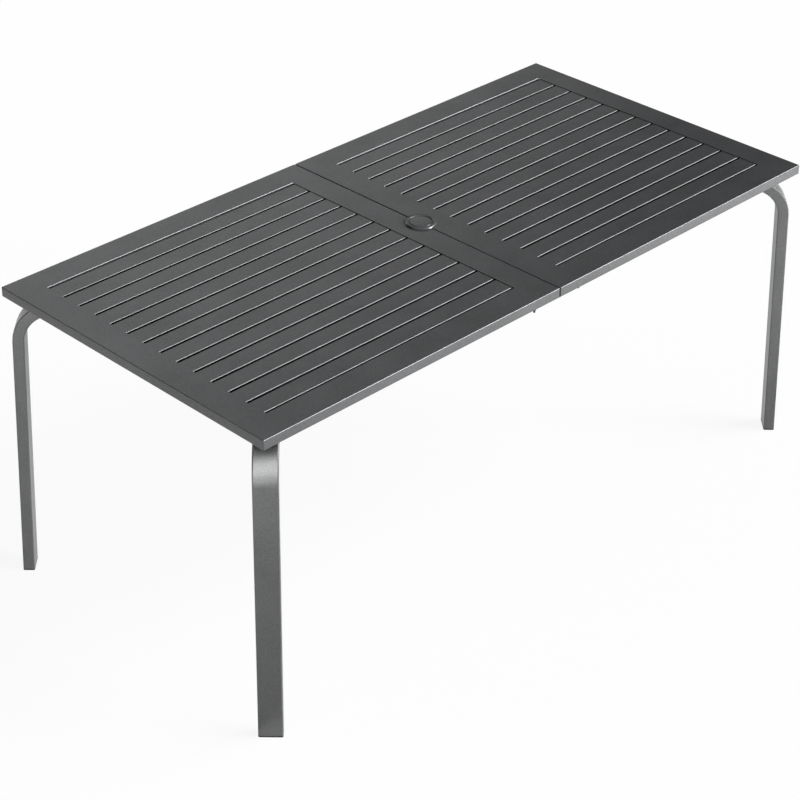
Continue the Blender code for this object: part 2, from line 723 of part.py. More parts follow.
def make_splices(paint, plated, cutters):
    """Plates under the lips across the seam, held by a bolt into each panel's lip."""
    for end, end_sign in ENDS.items():
        name = f"{end}_splice_plate"
        size = (SPLICE_LENGTH, SPLICE_WIDTH, PLATE_THICKNESS)
        place = (0, end_sign * SPLICE_Y, PLATE_TOP_Z - PLATE_THICKNESS / 2)
        plate = add_part(name, box_mesh(name, size), paint, location=place)
        bevel(plate, PLATE_THICKNESS / 4, EDGE_SEGMENTS)
        for side, sign in SIDES.items():
            cut(plate, cutters[f"{side}_{end}_bolt"])
            tail = LONG_TAIL if side == "left" else SHORT_TAIL
            place = (sign * SPLICE_BOLT_REACH, end_sign * SPLICE_Y, PLATE_BOTTOM_Z)
            turned(f"{side}_{end}_splice_bolt", bolt_profile(tail), plated, place, BOLT_STEPS)


def make_cutters():
    """Everything that is cut away: the umbrella hole, bolt and screw holes, and the ends of the arms."""
    cutters = {}
    hole = cylinder_mesh("umbrella_hole", HOLE_RADIUS, 4 * SKIRT, segments=UMBRELLA_HOLE_SEGMENTS)
    cutters["umbrella"] = add_cutter("umbrella_hole", hole, (0, 0, TOP_Z))
    trim_size = (TRIM_DEPTH, TOP_WIDTH, 4 * LEG_THICK)
    for side, sign in SIDES.items():
        trim_x = sign * (PIVOT_X + COPE_SHOULDER - TRIM_DEPTH / 2)
        trim = box_mesh(f"{side}_trim", trim_size)
        cutters[f"{side}_trim"] = add_cutter(f"{side}_trim", trim, (trim_x, 0, PIVOT_Z))
        cope = cylinder_mesh(f"{side}_cope", TUBE_RADIUS + FIT_GAP, TOP_WIDTH, "Y", 2 * TUBE_SEGMENTS)
        cutters[f"{side}_cope"] = add_cutter(f"{side}_cope", cope, (sign * PIVOT_X, 0, PIVOT_Z))
        for end, end_sign in ENDS.items():
            key = f"{side}_{end}_bolt"
            bolt = cylinder_mesh(key, BOLT_HOLE_RADIUS, 4 * PLATE_THICKNESS, segments=HOLE_SEGMENTS)
            place = (sign * SPLICE_BOLT_REACH, end_sign * SPLICE_Y, LIP_BOTTOM_Z)
            cutters[key] = add_cutter(key, bolt, place)
            key = f"{side}_{end}_screw"
            depth = BRACKET_LIP_DEPTH + BRACKET_SLIT / 2 + SCREW_BITE + 2 * FIT_GAP
            screw = cylinder_mesh(key, SCREW_HOLE_RADIUS, 2 * depth, segments=HOLE_SEGMENTS)
            top = BRACKET_SLIT / 2 + SCREW_BITE + 2 * FIT_GAP
            place = (sign * (PIVOT_X - SCREW_REACH), end_sign * BRACKET_Y, PIVOT_Z + top - depth)
            cutters[key] = add_cutter(key, screw, place)
    return cutters


def main():
    powder_coat = finish("dark grey powder coat", 0.115, 0.42, 0.35)
    plastic = finish("black moulded plastic", 0.012, 0.5, 0.0)
    rubber = finish("black rubber", 0.015, 0.8, 0.0)
    dark_zinc = finish("black zinc plating", 0.03, 0.4, 0.8)
    cutters = make_cutters()
    make_panels(powder_coat, cutters)
    make_slats(powder_coat)
    make_battens(powder_coat)
    make_umbrella_fittings(powder_coat)
    make_splices(powder_coat, dark_zinc, cutters)
    make_leg_plates(powder_coat, rubber)
    make_leg_frames(powder_coat, plastic, cutters)
    make_brackets(powder_coat, cutters)
    make_knobs(plastic)


PARTS, CUTTERS = start_scene()
main()
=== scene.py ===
# %% [markdown]
# # A folding picnic table, dressed for its portrait
#
# This table is sheet steel and steel tube under a dark grey powder coat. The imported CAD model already
# holds every main piece, so this lesson loads it as a fixed frame, paints each piece with a finish
# worked out from the real one, adds the small fixings that a factory would add, and then sets up a
# plain studio round it. Nothing in the frame is ever moved.

# %% Load the frame
import math

import bmesh
import bpy
from mathutils import Matrix, Vector


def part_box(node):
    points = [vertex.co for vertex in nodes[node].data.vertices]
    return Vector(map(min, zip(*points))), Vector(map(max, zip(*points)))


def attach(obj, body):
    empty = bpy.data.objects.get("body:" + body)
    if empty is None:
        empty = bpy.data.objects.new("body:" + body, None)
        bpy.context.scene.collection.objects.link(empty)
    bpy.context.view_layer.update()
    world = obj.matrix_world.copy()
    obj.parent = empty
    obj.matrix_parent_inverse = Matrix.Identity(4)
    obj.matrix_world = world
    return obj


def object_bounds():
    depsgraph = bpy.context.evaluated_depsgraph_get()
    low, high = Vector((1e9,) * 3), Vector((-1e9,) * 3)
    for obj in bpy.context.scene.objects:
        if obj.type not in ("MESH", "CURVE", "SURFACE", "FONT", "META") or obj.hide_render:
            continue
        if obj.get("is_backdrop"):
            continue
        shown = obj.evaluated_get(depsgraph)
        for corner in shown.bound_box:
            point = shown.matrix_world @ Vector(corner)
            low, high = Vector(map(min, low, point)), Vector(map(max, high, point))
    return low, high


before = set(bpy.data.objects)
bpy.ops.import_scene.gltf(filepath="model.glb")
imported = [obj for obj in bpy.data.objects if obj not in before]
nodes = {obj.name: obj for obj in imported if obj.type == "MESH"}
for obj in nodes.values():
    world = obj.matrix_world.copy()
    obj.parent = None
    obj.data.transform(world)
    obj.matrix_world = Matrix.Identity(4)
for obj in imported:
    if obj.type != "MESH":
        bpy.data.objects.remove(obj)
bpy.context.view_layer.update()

# %% [markdown]
# Colours are easiest to write as the hex values that a paint chart or a picture shows, but a shader
# works in linear light. One function does the change, so that no colour below is a guess in the wrong
# space.

# %% Colours as hex values
def colour(hex_value):
    """An sRGB hex value as linear red, green, blue and alpha."""
    parts = [int(hex_value[i:i + 2], 16) / 255 for i in (1, 3, 5)]
    linear = [c / 12.92 if c <= 0.04045 else ((c + 0.055) / 1.055) ** 2.4 for c in parts]
    return (*linear, 1.0)


print("mid grey in linear light:", [round(c, 3) for c in colour("#808080")])


# %% [markdown]
# A material is a small graph of nodes. One helper adds any node: each setting goes to the input of
# that name or number, or else to the node's own property, and each link joins an input to the output
# of an earlier node. Constants stay on the shader's own sockets, where an exporter can read them.

# %% One helper for every node
def node(tree, kind, settings=(), links=()):
    """A new node with its settings and links, both given as pairs of (name or number, value)."""
    made = tree.nodes.new(kind)
    for key, value in settings:
        if isinstance(key, int) or key in made.inputs:
            made.inputs[key].default_value = value
        else:
            setattr(made, key, value)
    for key, source in links:
        tree.links.new(source, made.inputs[key])
    return made


def new_material(name):
    """A material with an empty graph."""
    material = bpy.data.materials.new(name)
    material.use_nodes = True
    material.node_tree.nodes.clear()
    return material, material.node_tree


print("helpers:", node.__name__, "and", new_material.__name__)


# %% [markdown]
# **Powder coat: its tone.** Dry paint is blown on to the steel, where it clings by static charge, and
# is baked until it flows. This one carries a little metal flake, so its flat faces go dark where they
# mirror a dark room and pale where they mirror a white floor. Real flake is far finer than a pixel of
# the picture, so it is drawn two millimetres across. A very faint drift in tone over a hand's breadth
# goes under it, which is how an even coat looks in real light. A painted picture could give the same,
# but noise in the object's own metres has no seams and never repeats.

# %% Flake and drift
FLAKE = 0.0022
FLAKE_WEIGHT = 0.6
TONE_DRIFT = 0.12
TONE_LOW, TONE_HIGH = 0.35, 1.25


def coat_tone(tree, place, dark, pale):
    """A grey that wanders between a dark and a pale one, speckled with flake."""
    size = [("Scale", 1 / TONE_DRIFT), ("Detail", 2.0)]
    drift = node(tree, "ShaderNodeTexNoise", size, [("Vector", place)])
    flakes = node(tree, "ShaderNodeTexVoronoi", [("Scale", 1 / FLAKE)], [("Vector", place)])
    speckle = node(tree, "ShaderNodeSeparateColor", (), [(0, flakes.outputs["Color"])])
    tone = node(
        tree,
        "ShaderNodeMath",
        [("operation", "MULTIPLY_ADD"), (1, FLAKE_WEIGHT)],
        [(0, speckle.outputs[0]), (2, drift.outputs["Fac"])],
    )
    limits = [("From Min", TONE_LOW), ("From Max", TONE_HIGH)]
    share = node(tree, "ShaderNodeMapRange", limits, [("Value", tone.outputs[0])])
    greys = [("data_type", "RGBA"), (6, colour(dark)), (7, colour(pale))]
    return node(tree, "ShaderNodeMix", greys, [(0, share.outputs[0])]).outputs[2]


print("flake", FLAKE * 1000, "mm, drift", TONE_DRIFT * 1000, "mm")


# %% [markdown]
# **Powder coat: its skin.** The molten powder sets with a slight orange-peel skin. The peel is really
# about a millimetre across. That is finer than a pixel of the picture, so it is drawn at three. It
# breaks up the gloss as well as the surface, so one noise drives the roughness and the bumps.

# %% Orange peel
PEEL = 0.003
PEEL_DEPTH = 0.00020
PEEL_STRENGTH = 0.7
SHEEN_SPREAD = 0.05


def orange_peel(tree, place, roughness):
    """Links for a shader's roughness and normal."""
    size = [("Scale", 1 / PEEL), ("Detail", 3.0)]
    peel = node(tree, "ShaderNodeTexNoise", size, [("Vector", place)]).outputs["Fac"]
    limits = [("To Min", roughness - SHEEN_SPREAD), ("To Max", roughness + SHEEN_SPREAD)]
    sheen = node(tree, "ShaderNodeMapRange", limits, [("Value", peel)])
    relief = [("Strength", PEEL_STRENGTH), ("Distance", PEEL_DEPTH)]
    skin = node(tree, "ShaderNodeBump", relief, [("Height", peel)])
    return [("Roughness", sheen.outputs[0]), ("Normal", skin.outputs[0])]


print("peel", PEEL * 1000, "mm across and", PEEL_DEPTH * 1000, "mm deep")


# %% [markdown]
# ** Powder coat: painted highlights on its folds and painted shade between its slats.** In the oven the
# coat pulls back from every fold, and the folds are painted a paler grey with more metal shine, which
# draws a painted highlight line along each. The slats stand close together, and their upright walls,
# down between them, are painted near black: painted shade in the slots.
#
# Edges could be marked by hand, but here the surface says enough by itself. On the top each flat face
# is level or upright and only the folds lie in between, so the upward part of the surface's direction,
# squared, is 0 on a wall, 1 on a level face and a half in the middle of a fold.

# %% Where the fold highlights and slot shade are painted
FOLD_STARTS, FOLD_IS_FULL = 0.04, 0.25
WALL_ENDS, WALL_IS_FULL = 0.55, 0.20
MIDDLE_OF_FOLD = 0.5


def upward_squared(tree):
    """0 on upright faces, 1 on level ones."""
    facing = node(tree, "ShaderNodeTexCoord").outputs["Normal"]
    upward = node(tree, "ShaderNodeSeparateXYZ", (), [(0, facing)]).outputs[2]
    links = [(0, upward), (1, upward)]
    return node(tree, "ShaderNodeMath", [("operation", "MULTIPLY")], links).outputs[0]


def fold_highlight_mask(tree):
    """Where the painted fold highlight goes: 0 on faces that are level or upright, 1 on the folds
    between them.
    """
    there_and_back = [("operation", "PINGPONG"), (1, MIDDLE_OF_FOLD)]
    slant = node(tree, "ShaderNodeMath", there_and_back, [(0, upward_squared(tree))])
    limits = [("From Min", FOLD_STARTS), ("From Max", FOLD_IS_FULL)]
    return node(tree, "ShaderNodeMapRange", limits, [("Value", slant.outputs[0])]).outputs[0]


def slot_shade_mask(tree):
    """Where the painted slot shade goes: 1 on upright faces and the foot of their folds, 0 on the rest.
    """
    limits = [("From Min", WALL_ENDS), ("From Max", WALL_IS_FULL)]
    return node(tree, "ShaderNodeMapRange", limits, [("Value", upward_squared(tree))]).outputs[0]


print("folds are full from", FOLD_IS_FULL, "and walls from", WALL_IS_FULL)


# %% [markdown]
# With these helpers a coat is a few lines, and the painted fold highlights and painted slot shade are
# laid over it afterwards. The top and the legs come from two paint runs: the legs hold more flake and
# are paler.

# %% Powder coat
COAT_IOR = 1.5


def powder_coat(name, dark, pale, flake_share, roughness):
    """Baked paint between two close greys, with metal flake and an orange-peel skin."""
    material, tree = new_material(name)
    place = node(tree, "ShaderNodeTexCoord").outputs["Object"]
    links = [("Base Color", coat_tone(tree, place, dark, pale)), *orange_peel(tree, place, roughness)]
    settings = [("IOR", COAT_IOR), ("Metallic", flake_share)]
    shader = node(tree, "ShaderNodeBsdfPrincipled", settings, links)
    node(tree, "ShaderNodeOutputMaterial", (), [("Surface", shader.outputs[0])])
    return material


def lay_over(material, mask, hex_value):
    """A second colour over the coat's own, where the mask is 1."""
    tree = material.node_tree
    base = tree.nodes["Principled BSDF"].inputs["Base Color"]
    settings = [("data_type", "RGBA"), (7, colour(hex_value))]
    both = node(tree, "ShaderNodeMix", settings, [(0, mask), (6, base.links[0].from_socket)])
    tree.links.new(both.outputs[2], base)


def paint_fold_highlight(material, hex_value, shine):
    """Folds painted a paler grey with more metal shine: a painted highlight along each fold."""
    tree = material.node_tree
    mask = fold_highlight_mask(tree)
    lay_over(material, mask, hex_value)
    metal = tree.nodes["Principled BSDF"].inputs["Metallic"]
    limits = [("To Min", metal.default_value), ("To Max", shine)]
    tree.links.new(node(tree, "ShaderNodeMapRange", limits, [("Value", mask)]).outputs[0], metal)


TOP_DARK, TOP_PALE = "#424344", "#555657"
top_paint = powder_coat("dark grey powder coat on sheet steel", TOP_DARK, TOP_PALE, 0.30, 0.30)
# Painted highlight: the folds of the top are painted a paler grey and made more metallic.
paint_fold_highlight(top_paint, "#7c7e80", 0.8)
slat_paint = powder_coat("dark grey powder coat on slats", TOP_DARK, TOP_PALE, 0.30, 0.30)
# Painted highlight on the slats' folds, dimmer than on the top.
paint_fold_highlight(slat_paint, "#6e7072", 0.45)
# Painted shade: the slats' upright walls, down in the slots, are painted near black.
lay_over(slat_paint, slot_shade_mask(slat_paint.node_tree), "#0c0c0c")
leg_paint = powder_coat("dark grey powder coat on steel tube", "#535454", "#656666", 0.50, 0.34)
print("made", [paint.name for paint in (top_paint, slat_paint, leg_paint)])


# %% [markdown]
# **Moulded plastic.** The umbrella ring and its cap are ABS, coloured to match the paint. The glides
# and knobs are black polypropylene. A mould for such parts is spark-eroded, which leaves an even
# leather-like grain, so the surface is matt and its gloss is broken up. The grain is between half a
# millimetre and one across.

# %% Moulded plastic
GRAIN_STRENGTH = 0.4
GRAIN_DEPTH_SHARE = 0.125
GLOSS_SPREAD = 0.07


def moulded_plastic(name, hex_value, grain_size, roughness, ior):
    """One through-dyed colour with the grain of a spark-eroded mould."""
    material, tree = new_material(name)
    place = node(tree, "ShaderNodeTexCoord").outputs["Object"]
    size = [("Scale", 1 / grain_size), ("Detail", 4.0)]
    grain = node(tree, "ShaderNodeTexNoise", size, [("Vector", place)]).outputs["Fac"]
    limits = [("To Min", roughness - GLOSS_SPREAD), ("To Max", roughness + GLOSS_SPREAD)]
    gloss = node(tree, "ShaderNodeMapRange", limits, [("Value", grain)])
    depth = [("Strength", GRAIN_STRENGTH), ("Distance", grain_size * GRAIN_DEPTH_SHARE)]
    relief = node(tree, "ShaderNodeBump", depth, [("Height", grain)])
    settings = [("Base Color", colour(hex_value)), ("IOR", ior)]
    links = [("Roughness", gloss.outputs[0]), ("Normal", relief.outputs[0])]
    shader = node(tree, "ShaderNodeBsdfPrincipled", settings, links)
    node(tree, "ShaderNodeOutputMaterial", (), [("Surface", shader.outputs[0])])
    return material


ring_plastic = moulded_plastic("grey moulded ABS", "#3e3f40", 0.0008, 0.26, 1.54)
black_plastic = moulded_plastic("black moulded polypropylene", "#0f0f0f", 0.0006, 0.6, 1.49)
print("made", ring_plastic.name, "and", black_plastic.name)


# %% [markdown]
# **Rubber.** The strip that the leg arms press up on is extruded black rubber. It is dull, and a bloom
# of dust lies on it in patches a finger's width across.

# %% Rubber
BLOOM = 0.017


def extruded_rubber(name, hex_value, dusty_hex):
    """Dull rubber with a faint bloom of dust."""
    material, tree = new_material(name)
    place = node(tree, "ShaderNodeTexCoord").outputs["Object"]
    size = [("Scale", 1 / BLOOM), ("Detail", 5.0)]
    bloom = node(tree, "ShaderNodeTexNoise", size, [("Vector", place)])
    colours = [("data_type", "RGBA"), (6, colour(hex_value)), (7, colour(dusty_hex))]
    tint = node(tree, "ShaderNodeMix", colours, [(0, bloom.outputs["Fac"])])
    settings = [("Roughness", 0.85), ("IOR", 1.52)]
    shader = node(tree, "ShaderNodeBsdfPrincipled", settings, [("Base Color", tint.outputs[2])])
    node(tree, "ShaderNodeOutputMaterial", (), [("Surface", shader.outputs[0])])
    return material


strip_rubber = extruded_rubber("black extruded rubber", "#1a1a1a", "#2c2b2a")
print("made", strip_rubber.name)


# %% [markdown]
# **Black zinc.** The splice bolts are steel with a black zinc plating: still a metal to the eye, only
# a dark one. The plating bath leaves it uneven over about three millimetres, so its tone wanders.

# %% Black zinc plating
BATH_PATCH = 0.0029


def zinc_plating(name, thin_hex, thick_hex):
    """Dark plated steel whose tone wanders with the thickness of the plating."""
    material, tree = new_material(name)
    place = node(tree, "ShaderNodeTexCoord").outputs["Object"]
    size = [("Scale", 1 / BATH_PATCH), ("Detail", 3.0)]
    bath = node(tree, "ShaderNodeTexNoise", size, [("Vector", place)])
    colours = [("data_type", "RGBA"), (6, colour(thick_hex)), (7, colour(thin_hex))]
    plating = node(tree, "ShaderNodeMix", colours, [(0, bath.outputs["Fac"])])
    settings = [("Metallic", 1.0), ("Roughness", 0.38)]
    shader = node(tree, "ShaderNodeBsdfPrincipled", settings, [("Base Color", plating.outputs[2])])
    node(tree, "ShaderNodeOutputMaterial", (), [("Surface", shader.outputs[0])])
    return material


bolt_plating = zinc_plating("black zinc plated steel", "#4a4a4c", "#2b2b2d")
print("made", bolt_plating.name)

# %% [markdown]
# **Smooth shading.** The frame's meshes come with every triangle shaded flat. A tiny geometry graph
# joins the corners that meet, smooths the faces and keeps an edge sharp only where the sheet or tube
# really has one. A second modifier weighs the shading by the size of each face, so that a big flat face
# stays flat beside a small round fold. Both are modifiers, so the CAD mesh under them stays as it was.

# %% The smoothing graph
SHARP_FROM = math.radians(32)
JOIN_WITHIN = 0.00001


def smoothing_graph():
    """A geometry graph that merges split corners and smooths all but the sharp edges."""
    tree = bpy.data.node_groups.new("smooth sheet and tube", "GeometryNodeTree")
    for way in ("INPUT", "OUTPUT"):
        tree.interface.new_socket("Geometry", in_out=way, socket_type="NodeSocketGeometry")
    start = node(tree, "NodeGroupInput").outputs[0]
    within = [("Distance", JOIN_WITHIN)]
    joined = node(tree, "GeometryNodeMergeByDistance", within, [("Geometry", start)])
    smooth = node(tree, "GeometryNodeSetShadeSmooth", (), [("Geometry", joined.outputs[0])])
    angle = node(tree, "GeometryNodeInputMeshEdgeAngle").outputs["Unsigned Angle"]
    above = [("data_type", "FLOAT"), ("operation", "GREATER_THAN"), (1, SHARP_FROM)]
    sharp = node(tree, "FunctionNodeCompare", above, [(0, angle)])
    edged = node(
        tree,
        "GeometryNodeSetShadeSmooth",
        [("domain", "EDGE"), ("Shade Smooth", False)],
        [("Geometry", smooth.outputs[0]), ("Selection", sharp.outputs[0])],
    )
    node(tree, "NodeGroupOutput", (), [(0, edged.outputs[0])])
    return tree


smoothing = smoothing_graph()
print(smoothing.name, "has", len(smoothing.nodes), "nodes")

# %% [markdown]
# The graph goes on every piece of the frame. The normals that came with the file would win over the
# smoothing, so they are taken off first.

# %% Smooth the CAD pieces
LARGE_FACES_WIN = 100

for piece in nodes.values():
    if "custom_normal" in piece.data.attributes:
        piece.data.attributes.remove(piece.data.attributes["custom_normal"])
    piece.modifiers.new("smooth", "NODES").node_group = smoothing
    weighted = piece.modifiers.new("flat faces stay flat", "WEIGHTED_NORMAL")
    weighted.keep_sharp = True
    weighted.weight = LARGE_FACES_WIN
print("smoothed", len(nodes), "pieces")

# %% [markdown]
# **Paint.** The last word of a piece's name says what it is, so a short list of words is enough to give
# all sixty pieces their finish.

# %% Paint the CAD pieces
FINISHES = {
    "panel": top_paint,
    "slat": slat_paint,
    "batten": top_paint,
    "plate": top_paint,
    "ring": ring_plastic,
    "cap": ring_plastic,
    "leg": leg_paint,
    "tube": leg_paint,
    "bracket": leg_paint,
    "glide": black_plastic,
    "knob": black_plastic,
    "strip": strip_rubber,
    "bolt": bolt_plating,
}


def kind_of(name):
    """The last word of a piece's name, without a number."""
    return name.rstrip("_0123456789").rsplit("_", 1)[-1]


def give_finish(piece, material):
    """One material for a whole piece."""
    piece.data.materials.clear()
    piece.data.materials.append(material)


for name, piece in nodes.items():
    give_finish(piece, FINISHES[kind_of(name)])
print("painted", len(nodes), "pieces of", len({kind_of(name) for name in nodes}), "kinds")


# %% [markdown]
# ** Turned fixings.** Rivets, plugs and knob caps are round, so each is a chain of points spun about an
# axis. Several of one kind on one body make a single piece. Chains that start and end on the axis give
# closed meshes, which keeps the model free of stray faces.

# %% A helper for turned fixings
ROUND_STEPS = 24
UPWARDS = Vector((0, 0, 1))
FACING_DOWN = Matrix.Rotation(math.pi, 4, "X")
SIDES = {"left": -1, "right": 1}
ENDS = {"front": -1, "back": 1}


def turned_pieces(name, chain, places, material, body):
    """One piece: a chain of (radius, height), spun about Z, at each place."""
    bm = bmesh.new()
    for place in places:
        rim = [bm.verts.new(place @ Vector((radius, 0, height))) for radius, height in chain]
        edges = [bm.edges.new(pair) for pair in zip(rim, rim[1:])]
        bmesh.ops.spin(
            bm,
            geom=rim + edges,
            axis=place.to_3x3() @ UPWARDS,
            cent=place.translation,
            angle=2 * math.pi,
            steps=ROUND_STEPS,
        )
    bmesh.ops.remove_doubles(bm, verts=bm.verts, dist=JOIN_WITHIN)
    bmesh.ops.recalc_face_normals(bm, faces=bm.faces)
    mesh = bpy.data.meshes.new(name)
    bm.to_mesh(mesh)
    bm.free()
    mesh.shade_smooth()
    mesh.set_sharp_from_angle(angle=SHARP_FROM)
    piece = bpy.data.objects.new(name, mesh)
    bpy.context.scene.collection.objects.link(piece)
    give_finish(piece, material)
    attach(piece, body)
    return piece


def scaled(shape, radius, height):
    """A shape given in shares of its radius and height, in metres."""
    return [(radius * across, height * up) for across, up in shape]


print("down is", FACING_DOWN @ UPWARDS)

# %% [markdown]
# **Rivets.** The leg plates hang from the lips of the panels by two blind rivets at each side, and each
# clamp bracket is held to its plate by two more through its outer flange. A blind rivet has a low dome
# with a dimple where its pin broke off. The heads are painted with everything else, and their places
# come from the boxes of the pieces they hold.

# %% Rivets
RIVET_RADIUS = 0.0042
RIVET_HEIGHT = 0.0016
RIVET_SHAPE = [(0, 0.7), (0.286, 0.75), (0.371, 1), (0.6, 0.92), (0.9, 0.5), (1, 0.06), (1, 0), (0, 0)]
PLATE_RIVET_FROM_SIDE = 0.0065
PLATE_RIVET_FROM_EDGE = 0.016
BRACKET_RIVET_FROM_EDGE = 0.0058
BRACKET_RIVET_SPREAD = 0.0068
BRACKET_FLANGE = 0.005

rivet_chain = scaled(RIVET_SHAPE, RIVET_RADIUS, RIVET_HEIGHT)
for side, sign in SIDES.items():
    low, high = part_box(f"{side}_leg_plate")
    places = []
    for x in (low.x + PLATE_RIVET_FROM_EDGE, high.x - PLATE_RIVET_FROM_EDGE):
        for y in (low.y + PLATE_RIVET_FROM_SIDE, high.y - PLATE_RIVET_FROM_SIDE):
            places.append(Matrix.Translation((x, y, low.z)) @ FACING_DOWN)
    for end in ENDS:
        low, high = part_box(f"{side}_{end}_bracket")
        x = low.x + BRACKET_RIVET_FROM_EDGE if sign < 0 else high.x - BRACKET_RIVET_FROM_EDGE
        for turn in (-1, 1):
            y = (low.y + high.y) / 2 + turn * BRACKET_RIVET_SPREAD
            places.append(Matrix.Translation((x, y, high.z - BRACKET_FLANGE)) @ FACING_DOWN)
    rivets = turned_pieces(f"{side}_rivets", rivet_chain, places, top_paint, "top")
    print(rivets.name, len(places), "heads")

# %% [markdown]
# **Plugs.** A cut tube end is sharp and lets rain in, so each end of a cross tube has a pressed-in
# plastic plug with a low dome.

# %% Cross tube plugs
PLUG_DOME = 0.0028
PLUG_SHAPE = [(0, 1), (0.5, 0.85), (0.85, 0.5), (0.98, 0.1), (0.98, 0), (0, 0)]

for side in SIDES:
    low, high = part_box(f"{side}_cross_tube")
    middle = (low + high) / 2
    places = []
    for sign, y in ((-1, low.y), (1, high.y)):
        outwards = Matrix.Rotation(-sign * math.pi / 2, 4, "X")
        places.append(Matrix.Translation((middle.x, y, middle.z)) @ outwards)
    plug_chain = scaled(PLUG_SHAPE, (high.z - low.z) / 2, PLUG_DOME)
    body = f"{side}_leg_frame"
    name = f"{side}_tube_plugs"
    plugs = turned_pieces(name, plug_chain, places, black_plastic, body)
    print(plugs.name, "in a tube", round((high.z - low.z) * 1000, 1), "mm across")

# %% [markdown]
# **Knob caps.** A star knob is moulded round a screw head, and a small round cap hides the mould's
# gate on the outside. It turns with the knob, so it rides on the knob's own body.

# %% Knob caps
KNOB_CAP_RADIUS = 0.0068
KNOB_CAP_HEIGHT = 0.0011
KNOB_CAP_SHAPE = [(0, 1), (0.7, 0.85), (0.93, 0.45), (1, 0), (0, 0)]

knob_cap_chain = scaled(KNOB_CAP_SHAPE, KNOB_CAP_RADIUS, KNOB_CAP_HEIGHT)
for side in SIDES:
    for end in ENDS:
        knob = f"{side}_{end}_knob"
        low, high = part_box(knob)
        place = Matrix.Translation(((low.x + high.x) / 2, (low.y + high.y) / 2, low.z)) @ FACING_DOWN
        turned_pieces(f"{knob}_cap", knob_cap_chain, [place], black_plastic, knob)
print("capped four knobs")

# %% [markdown]
# **Weld beads: their path.** Each leg arm is coped to the round of the cross tube and welded there. The
# bead follows the saddle down one side of the arm, along the bottom and up the other side. The arm runs
# on the table's diagonal, so the path is worked out from the tube's axis and the panel's corner.

# %% The path of a bead
ARM_HALF_WIDTH = 0.027
SADDLE_RADIUS = 0.0131
SADDLE_STEPS = 12
SHOULDER = 0.004


def saddle_points(side, end):
    """Corner points of the bead: down one side wall, along the arm's lower edge and up the other."""
    tube_low, tube_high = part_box(f"{side}_cross_tube")
    axis = (tube_low + tube_high) / 2
    panel_low, panel_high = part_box(f"{side}_panel")
    corner_x = max(abs(panel_low.x), abs(panel_high.x))
    steepest = math.acos(SHOULDER / SADDLE_RADIUS)

    def on_arm(across, around):
        outboard = abs(axis.x) + SADDLE_RADIUS * math.cos(around)
        y = panel_high.y - (corner_x - outboard) + across * ARM_HALF_WIDTH * math.sqrt(2)
        z = axis.z + SADDLE_RADIUS * math.sin(around)
        return Vector((SIDES[side] * outboard, ENDS[end] * y, z))

    turns = [steepest * (1 - 2 * i / SADDLE_STEPS) for i in range(SADDLE_STEPS + 1)]
    return [on_arm(-1, turn) for turn in turns] + [on_arm(1, turn) for turn in reversed(turns)]


print("a bead has", len(saddle_points("left", "front")), "corners")

# %% [markdown]
# **Weld beads: their ripples.** A weld laid by hand is a row of overlapping ripples. A bump in the
# paint could only hint at them, so the bead is a curve with a round bevel whose thickness swells and
# shrinks every couple of millimetres.

# %% Weld beads
BEAD_RADIUS = 0.0022
BEAD_ROUNDING = 2
RIPPLE_STEP = 0.0011
RIPPLE_SHRINK = 0.82


def weld_bead(name, points, body):
    """A rippled bead along a chain of points."""
    path = [points[0]]
    for first, second in zip(points, points[1:]):
        count = max(1, round((second - first).length / RIPPLE_STEP))
        path += [first.lerp(second, (i + 1) / count) for i in range(count)]
    curve = bpy.data.curves.new(name, "CURVE")
    curve.dimensions = "3D"
    curve.bevel_depth = BEAD_RADIUS
    curve.bevel_resolution = BEAD_ROUNDING
    curve.use_fill_caps = True
    spline = curve.splines.new("POLY")
    spline.points.add(len(path) - 1)
    for i, (point, place) in enumerate(zip(spline.points, path)):
        point.co = (*place, 1)
        point.radius = 1.0 if i % 2 else RIPPLE_SHRINK
    spline.use_smooth = True
    piece = bpy.data.objects.new(name, curve)
    bpy.context.scene.collection.objects.link(piece)
    give_finish(piece, leg_paint)
    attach(piece, body)
    return len(path)


for side in SIDES:
    for end in ENDS:
        points = saddle_points(side, end)
        steps = weld_bead(f"{side}_{end}_weld_bead", points, f"{side}_leg_frame")
print("each bead has", steps, "steps")


# %% [markdown]
# **The floor.** A wide pale floor carries the shadow. To the camera and in reflections the paper is
# mostly plain white, as it is in a catalogue picture, and the rest of it is real paper that takes the
# shadow. More light on the paper would whiten it too, but would also burn out the table.

# %% Floor
FLOOR_REACH = 60.0
WHITE_SHARE = 0.90
WHITE = (1.0, 1.0, 1.0, 1.0)


def seen_directly(tree):
    """1 for rays that look at a surface or mirror it, and 0 for rays that gather light."""
    rays = node(tree, "ShaderNodeLightPath")
    most = rays.outputs["Is Camera Ray"]
    for kind in ("Is Glossy Ray", "Is Transmission Ray"):
        links = [(0, most), (1, rays.outputs[kind])]
        most = node(tree, "ShaderNodeMath", [("operation", "MAXIMUM")], links).outputs[0]
    return most


